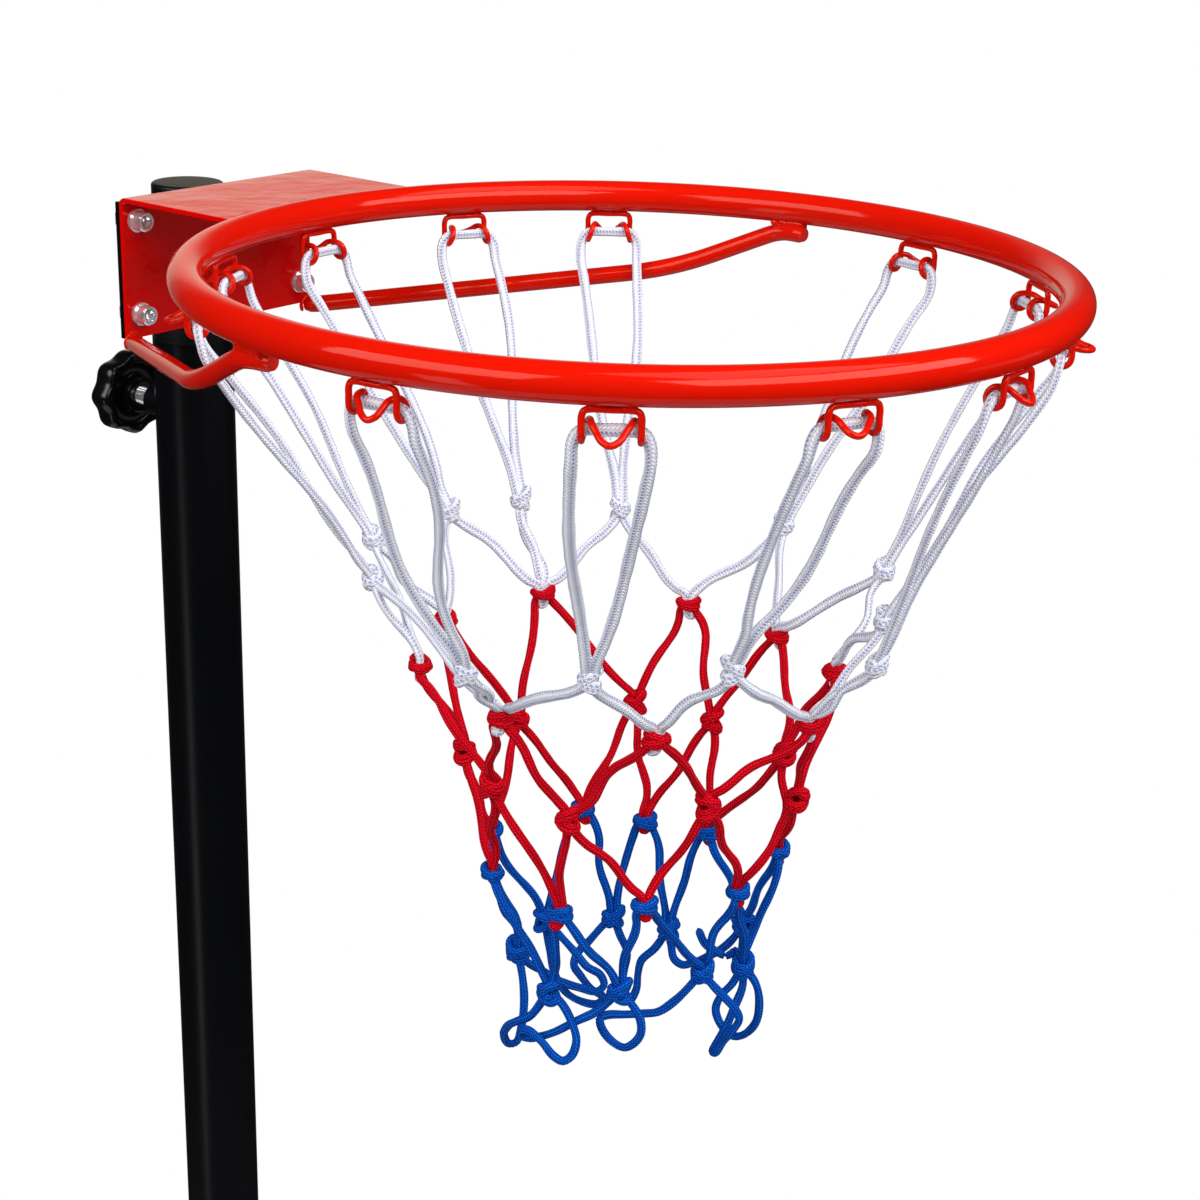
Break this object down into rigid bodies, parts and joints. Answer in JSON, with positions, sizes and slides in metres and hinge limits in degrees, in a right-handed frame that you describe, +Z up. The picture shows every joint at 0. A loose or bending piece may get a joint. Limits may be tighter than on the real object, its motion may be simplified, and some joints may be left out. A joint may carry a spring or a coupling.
{
  "type": "netball post",
  "caption": "Netball post with a glossy red hoop and bracket, a white, red and blue knotted net, a black height-adjustable mast with a clamp knob, and a wheeled black base",
  "frame": {"origin": "centre of the base's underside, under the post's axis", "axes": "+Z up the post; -Y from the post out to the hoop; +X to the right seen from the hoop's side"},
  "size_m": [0.5, 0.8335, 2.448],
  "materials": {
    "red_coat": "glossy red powder coat",
    "black_coat": "satin black powder coat",
    "black_plastic": "moulded black plastic with a low sheen",
    "tank_plastic": "blow moulded black polyethylene with a fine grain",
    "wheel_plastic": "hard moulded black plastic",
    "zinc_steel": "bright zinc plated steel",
    "pad_nylon": "natural nylon",
    "white_cord": "braided white cord with blue-grey flecks",
    "red_cord": "braided red cord",
    "blue_cord": "braided blue cord"
  },
  "bodies": {
    "frame": {"base_tank": "tank_plastic", "lower_tube": "black_coat", "joint_collar": "black_plastic", "joint_bolt": "zinc_steel", "joint_nut": "zinc_steel", "outer_tube": "black_coat", "guide_bush": "black_plastic", "clamp_boss": "black_coat", "axle": "zinc_steel", "axle_cap_left": "black_plastic", "axle_cap_right": "black_plastic"},
    "mast": {"mast_tube": "black_coat", "mast_cap": "black_plastic", "mount_plate": "black_coat", "bracket": "red_coat", "hoop": "red_coat", "strut_left": "red_coat", "strut_right": "red_coat", "hook_01": "red_coat", "hook_02": "red_coat", "hook_03": "red_coat", "hook_04": "red_coat", "hook_05": "red_coat", "hook_06": "red_coat", "hook_07": "red_coat", "hook_08": "red_coat", "hook_09": "red_coat", "hook_10": "red_coat", "hook_11": "red_coat", "hook_12": "red_coat", "net_white": "white_cord", "net_red": "red_cord", "net_blue": "blue_cord", "bolt_1": "zinc_steel", "bolt_2": "zinc_steel", "bolt_3": "zinc_steel", "bolt_4": "zinc_steel", "washer_1": "zinc_steel", "washer_2": "zinc_steel", "washer_3": "zinc_steel", "washer_4": "zinc_steel", "nut_1": "zinc_steel", "nut_2": "zinc_steel", "nut_3": "zinc_steel", "nut_4": "zinc_steel"},
    "pad": {"clamp_pad": "pad_nylon"},
    "knob": {"clamp_knob": "black_plastic", "clamp_screw": "zinc_steel"},
    "cap": {"filler_cap": "black_plastic"},
    "left_wheel": {"wheel_left": "wheel_plastic"},
    "right_wheel": {"wheel_right": "wheel_plastic"}
  },
  "joints": [
    {"name": "mast_height", "type": "slide", "parent": "frame", "child": "mast", "axis": [0, 0, 1], "range_m": [0, 0.61]},
    {"name": "clamp_travel", "type": "slide", "parent": "frame", "child": "pad", "axis": [0, 1, 0], "range_m": [0, 0.0045]},
    {"name": "knob_turn", "type": "hinge", "parent": "pad", "child": "knob", "pos_m": [0, 0.0378, 2.31935], "axis": [0, 1, 0], "range_deg": [0, 1080]},
    {"name": "cap_turn", "type": "hinge", "parent": "frame", "child": "cap", "pos_m": [0.078, 0.215, 0.1491], "axis": [0, 0, 1], "range_deg": [0, 540]},
    {"name": "left_wheel_turn", "type": "hinge", "parent": "frame", "child": "left_wheel", "pos_m": [-0.2092, -0.282, 0.064], "axis": [1, 0, 0], "continuous": true},
    {"name": "right_wheel_turn", "type": "hinge", "parent": "frame", "child": "right_wheel", "pos_m": [0.2092, -0.282, 0.064], "axis": [1, 0, 0], "continuous": true}
  ],
  "couplings": [
    {"joint": "clamp_travel", "follows": "knob_turn", "m_per_rad": 0.00023873}
  ]
}
